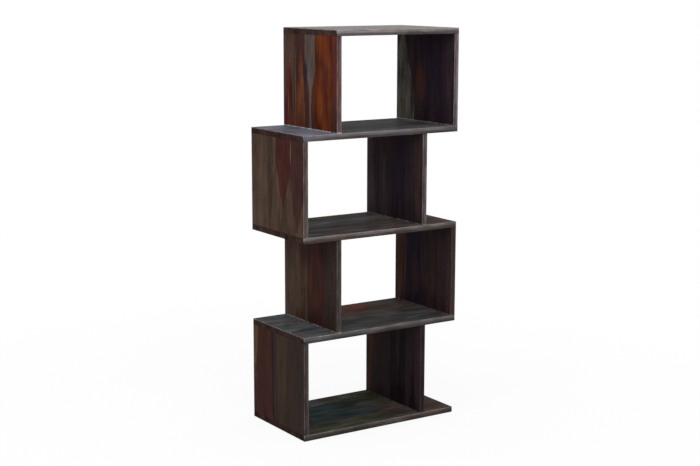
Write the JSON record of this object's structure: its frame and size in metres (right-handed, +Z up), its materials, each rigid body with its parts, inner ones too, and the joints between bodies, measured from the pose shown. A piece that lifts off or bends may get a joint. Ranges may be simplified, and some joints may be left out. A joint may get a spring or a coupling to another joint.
{
  "type": "stepped open bookcase",
  "caption": "Tall open bookcase of stacked wooden boxes, every second one stepped sideways, open at the front and the back.",
  "frame": {"origin": "middle of the footprint on the floor", "axes": "+Z up, front towards -Y, the lowest box stands towards -X"},
  "size_m": [0.696, 0.381, 1.518],
  "materials": {
    "stained_sheesham": "satin lacquer over a dark grey-brown stain"
  },
  "bodies": {
    "root": {"base_board_back_stave": "stained_sheesham", "base_board_front_stave": "stained_sheesham", "base_board_mid_back_stave": "stained_sheesham", "base_board_mid_front_stave": "stained_sheesham", "lower_shelf_back_stave": "stained_sheesham", "lower_shelf_front_stave": "stained_sheesham", "lower_shelf_mid_back_stave": "stained_sheesham", "lower_shelf_mid_front_stave": "stained_sheesham", "middle_shelf_back_stave": "stained_sheesham", "middle_shelf_front_stave": "stained_sheesham", "middle_shelf_mid_back_stave": "stained_sheesham", "middle_shelf_mid_front_stave": "stained_sheesham", "tier_1_left_side_back_stave": "stained_sheesham", "tier_1_left_side_front_stave": "stained_sheesham", "tier_1_left_side_mid_back_stave": "stained_sheesham", "tier_1_left_side_mid_front_stave": "stained_sheesham", "tier_1_right_side_back_stave": "stained_sheesham", "tier_1_right_side_front_stave": "stained_sheesham", "tier_1_right_side_mid_back_stave": "stained_sheesham", "tier_1_right_side_mid_front_stave": "stained_sheesham", "tier_2_left_side_back_stave": "stained_sheesham", "tier_2_left_side_front_stave": "stained_sheesham", "tier_2_left_side_mid_back_stave": "stained_sheesham", "tier_2_left_side_mid_front_stave": "stained_sheesham", "tier_2_right_side_back_stave": "stained_sheesham", "tier_2_right_side_front_stave": "stained_sheesham", "tier_2_right_side_mid_back_stave": "stained_sheesham", "tier_2_right_side_mid_front_stave": "stained_sheesham", "tier_3_left_side_back_stave": "stained_sheesham", "tier_3_left_side_front_stave": "stained_sheesham", "tier_3_left_side_mid_back_stave": "stained_sheesham", "tier_3_left_side_mid_front_stave": "stained_sheesham", "tier_3_right_side_back_stave": "stained_sheesham", "tier_3_right_side_front_stave": "stained_sheesham", "tier_3_right_side_mid_back_stave": "stained_sheesham", "tier_3_right_side_mid_front_stave": "stained_sheesham", "tier_4_left_side_back_stave": "stained_sheesham", "tier_4_left_side_front_stave": "stained_sheesham", "tier_4_left_side_mid_back_stave": "stained_sheesham", "tier_4_left_side_mid_front_stave": "stained_sheesham", "tier_4_right_side_back_stave": "stained_sheesham", "tier_4_right_side_front_stave": "stained_sheesham", "tier_4_right_side_mid_back_stave": "stained_sheesham", "tier_4_right_side_mid_front_stave": "stained_sheesham", "top_board_back_stave": "stained_sheesham", "top_board_front_stave": "stained_sheesham", "top_board_mid_back_stave": "stained_sheesham", "top_board_mid_front_stave": "stained_sheesham", "upper_shelf_back_stave": "stained_sheesham", "upper_shelf_front_stave": "stained_sheesham", "upper_shelf_mid_back_stave": "stained_sheesham", "upper_shelf_mid_front_stave": "stained_sheesham"}
  },
  "joints": []
}
